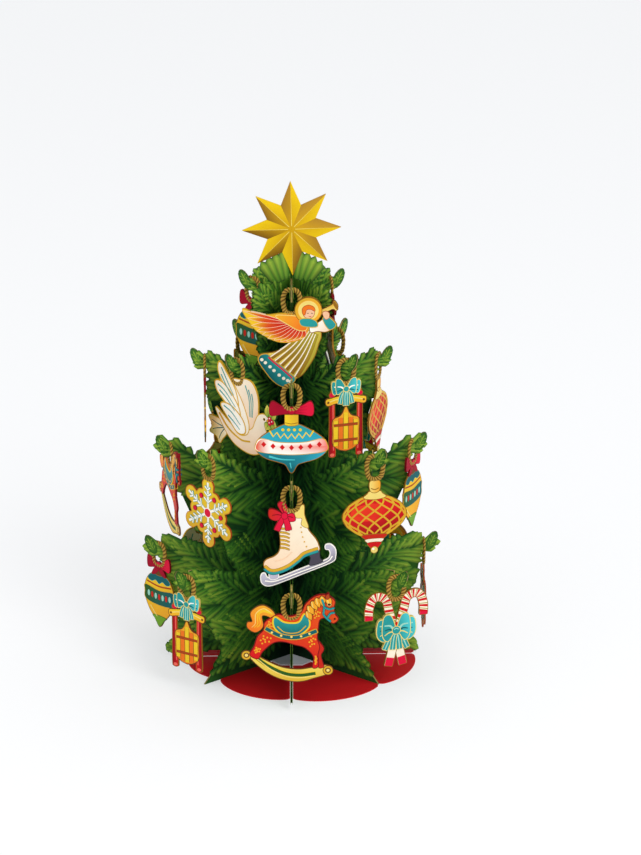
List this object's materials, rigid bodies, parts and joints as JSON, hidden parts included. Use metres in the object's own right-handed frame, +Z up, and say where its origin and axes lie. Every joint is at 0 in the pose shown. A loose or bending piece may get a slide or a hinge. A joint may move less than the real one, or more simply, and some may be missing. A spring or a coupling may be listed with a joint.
{
  "type": "pop-up paper tree card",
  "caption": "Free-standing pop-up paper tree: V-folded fin sheets round one axis, hook-edged tiers with hang-on card ornaments, skirt panels, lock plate and star.",
  "frame": {"origin": "on the floor at the tree's axis, where the fins meet", "axes": "+Z up along the axis where the fins meet, -Y along the front fin, +X to the right seen from the front"},
  "size_m": [0.1767, 0.176, 0.3008],
  "materials": {
    "pine_print": "satin printed card",
    "skirt_red": "satin printed card",
    "lock_plate": "satin printed card",
    "star_gold": "satin printed card",
    "horse": "satin printed card",
    "skate": "satin printed card",
    "top_bauble": "satin printed card",
    "angel": "satin printed card",
    "candy_canes": "satin printed card",
    "lattice_bauble": "satin printed card",
    "sled": "satin printed card",
    "snowflake": "satin printed card",
    "drop_bauble": "satin printed card",
    "dove": "satin printed card"
  },
  "bodies": {
    "root": {"angel_back_low": "angel", "angel_front_top": "angel", "candy_canes_back_middle": "candy_canes", "candy_canes_right_front_low": "candy_canes", "dove_left_back_low": "dove", "dove_left_front_upper": "dove", "drop_bauble_back_top": "drop_bauble", "drop_bauble_left_low": "drop_bauble", "drop_bauble_left_top": "drop_bauble", "drop_bauble_right_middle": "drop_bauble", "fin_sheet_back": "pine_print", "fin_sheet_front": "pine_print", "fin_sheet_left": "pine_print", "fin_sheet_left_back": "pine_print", "fin_sheet_left_front": "pine_print", "fin_sheet_right": "pine_print", "fin_sheet_right_back": "pine_print", "fin_sheet_right_front": "pine_print", "horse_front_low": "horse", "horse_left_middle": "horse", "horse_right_back_low": "horse", "lattice_bauble_left_back_middle": "lattice_bauble", "lattice_bauble_right_front_middle": "lattice_bauble", "lattice_bauble_right_upper": "lattice_bauble", "lock_plate": "lock_plate", "skate_front_middle": "skate", "skate_left_back_upper": "skate", "skate_right_top": "skate", "skirt_panel_back": "skirt_red", "skirt_panel_front": "skirt_red", "skirt_panel_left": "skirt_red", "skirt_panel_left_back": "skirt_red", "skirt_panel_left_front": "skirt_red", "skirt_panel_right": "skirt_red", "skirt_panel_right_back": "skirt_red", "skirt_panel_right_front": "skirt_red", "sled_left_front_low": "sled", "sled_right_back_middle": "sled", "sled_right_front_upper": "sled", "snowflake_left_front_middle": "snowflake", "snowflake_right_back_upper": "snowflake", "snowflake_right_low": "snowflake", "star": "star_gold", "top_bauble_back_upper": "top_bauble", "top_bauble_front_upper": "top_bauble", "top_bauble_left_upper": "top_bauble"}
  },
  "joints": []
}
